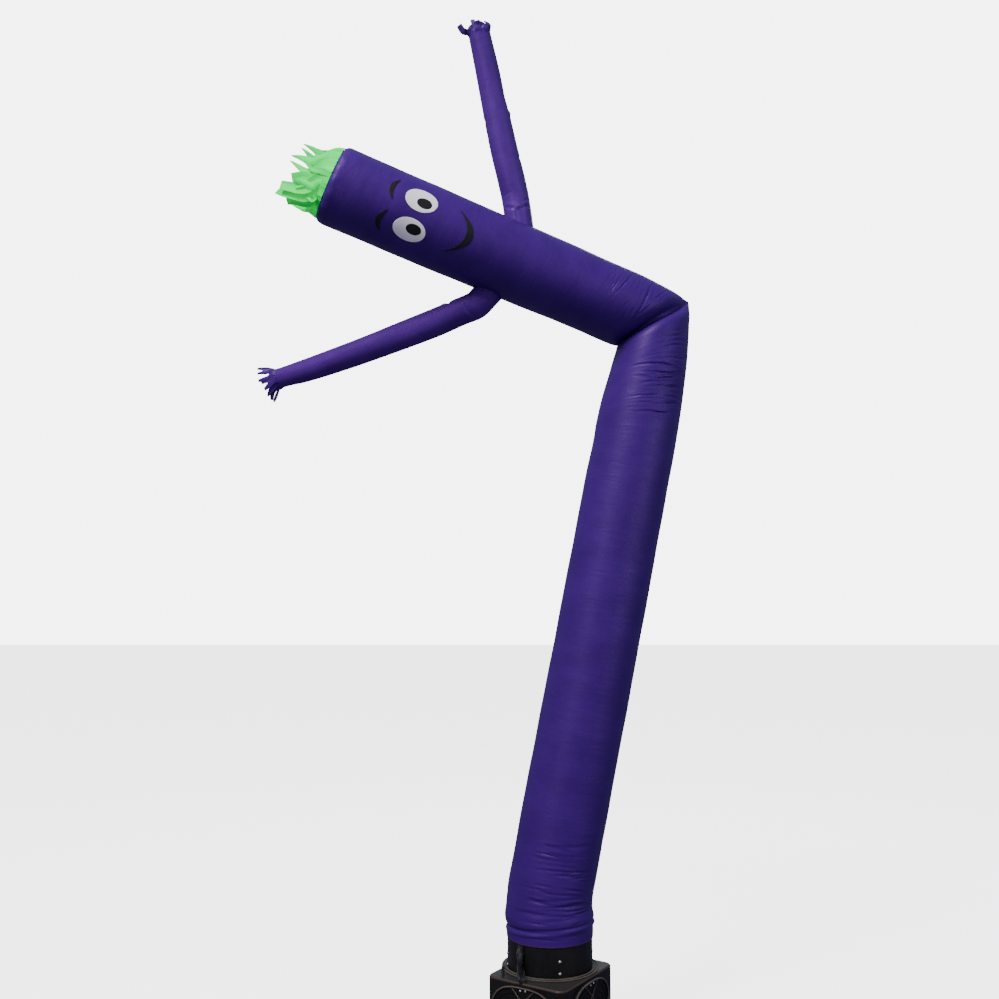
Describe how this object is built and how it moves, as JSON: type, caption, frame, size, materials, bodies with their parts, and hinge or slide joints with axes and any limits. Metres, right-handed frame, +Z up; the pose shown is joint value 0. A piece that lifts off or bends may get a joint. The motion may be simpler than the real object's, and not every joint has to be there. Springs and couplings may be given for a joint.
{
  "type": "inflatable air dancer on its blower",
  "caption": "Tall nylon tube figure with two sleeves, fringed hands and hair and a sewn-on face, folded at an elbow above the box blower that inflates it.",
  "frame": {"origin": "on the ground, under the middle of the blower's round air outlet", "axes": "+Z up; the figure leans to +X and throws its head back towards -X and -Y"},
  "size_m": [2.4113, 0.9423, 5.4769],
  "materials": {
    "purple_nylon": "thin coated nylon, soft satin sheen",
    "green_nylon": "bright coated nylon strips",
    "white_nylon": "matte sewn-on cloth",
    "black_nylon": "matte sewn-on cloth",
    "webbing": "woven strap",
    "painted_steel": "semi-gloss black paint",
    "flange_steel": "worn dark paint",
    "rubber": "matte"
  },
  "bodies": {
    "root": {"tube": "purple_nylon", "sleeve_raised": "purple_nylon", "sleeve_low": "purple_nylon", "hand_raised": "purple_nylon", "hand_low": "purple_nylon", "hair": "green_nylon", "eye_left": "white_nylon", "eye_right": "white_nylon", "pupil_left": "black_nylon", "pupil_right": "black_nylon", "brow_left": "black_nylon", "brow_right": "black_nylon", "smile": "black_nylon", "strap": "webbing", "outlet_collar": "painted_steel", "outlet_flange": "flange_steel", "housing": "painted_steel", "intake_guard_left": "painted_steel", "intake_guard_right": "painted_steel", "intake_guard_back": "painted_steel", "intake_guard_rear": "painted_steel", "ground_pad": "rubber", "peg": "rubber"}
  },
  "joints": []
}
